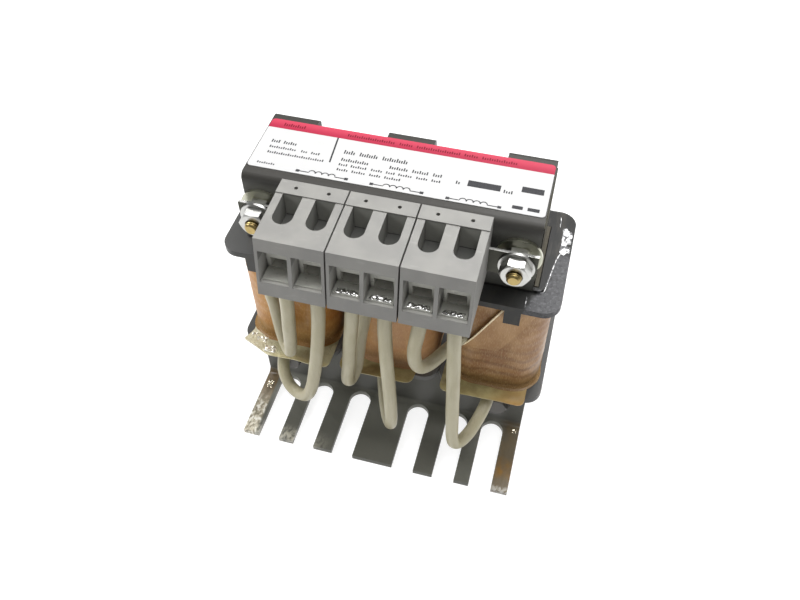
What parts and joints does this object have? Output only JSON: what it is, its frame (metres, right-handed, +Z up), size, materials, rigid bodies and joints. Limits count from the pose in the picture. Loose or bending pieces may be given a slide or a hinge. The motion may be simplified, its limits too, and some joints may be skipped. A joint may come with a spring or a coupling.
{
  "type": "line reactor",
  "caption": "Open three-phase line reactor: varnished coils on a laminated core between black brackets, with grey screw terminal blocks in front and slotted feet.",
  "frame": {"origin": "middle of the base, on the floor", "axes": "+X to the right along the core, -Y towards the terminals, +Z up"},
  "size_m": [0.128, 0.103, 0.127],
  "materials": {
    "core_steel": "varnished lamination edges",
    "gap_fibre": "varnished fibre board",
    "black_bobbin": "black moulding under clear varnish",
    "winding_wire": "enamelled copper wire",
    "amber_wrap": "varnish-soaked wrap, amber brown",
    "olive_collar": "varnished insulation sheet, olive yellow",
    "black_bracket": "black with glossy varnish runs",
    "label_face": "satin white label with a red band",
    "zinc_plate": "bright zinc plate",
    "grey_block": "mid-grey moulding",
    "tinned_cage": "tinned metal",
    "dark_screw": "dark plated screw",
    "lead_sleeve": "cream sleeve over the lead",
    "brass_bolt": "yellow-passivated bolt",
    "black_bolt": "bolt under black varnish"
  },
  "bodies": {
    "root": {"core_e_stack": "core_steel", "upper_yoke": "core_steel", "gap_spacer_left": "gap_fibre", "gap_spacer_middle": "gap_fibre", "gap_spacer_right": "gap_fibre", "bobbin_left": "black_bobbin", "bobbin_middle": "black_bobbin", "bobbin_right": "black_bobbin", "winding_left": "winding_wire", "winding_middle": "winding_wire", "winding_right": "winding_wire", "coil_wrap_left": "amber_wrap", "coil_wrap_middle": "amber_wrap", "coil_wrap_right": "amber_wrap", "insulation_collar_left": "olive_collar", "insulation_collar_middle": "olive_collar", "insulation_collar_right": "olive_collar", "top_bracket": "black_bracket", "rating_label": "label_face", "front_foot_bracket": "black_bracket", "rear_foot_bracket": "black_bracket", "terminal_rail": "zinc_plate", "terminal_block_left": "grey_block", "terminal_block_middle": "grey_block", "terminal_block_right": "grey_block", "clamp_cages_left": "tinned_cage", "clamp_cages_middle": "tinned_cage", "clamp_cages_right": "tinned_cage", "terminal_screws": "dark_screw", "lead_1": "lead_sleeve", "lead_2": "lead_sleeve", "lead_3": "lead_sleeve", "lead_4": "lead_sleeve", "lead_5": "lead_sleeve", "lead_6": "lead_sleeve", "upper_clamp_bolts": "brass_bolt", "upper_head_washers": "zinc_plate", "bracket_washers": "zinc_plate", "inner_nuts": "zinc_plate", "rail_washers": "zinc_plate", "outer_nuts": "zinc_plate", "lower_clamp_bolts": "black_bolt", "lower_washers": "black_bolt", "lower_nuts": "black_bolt"}
  },
  "joints": []
}
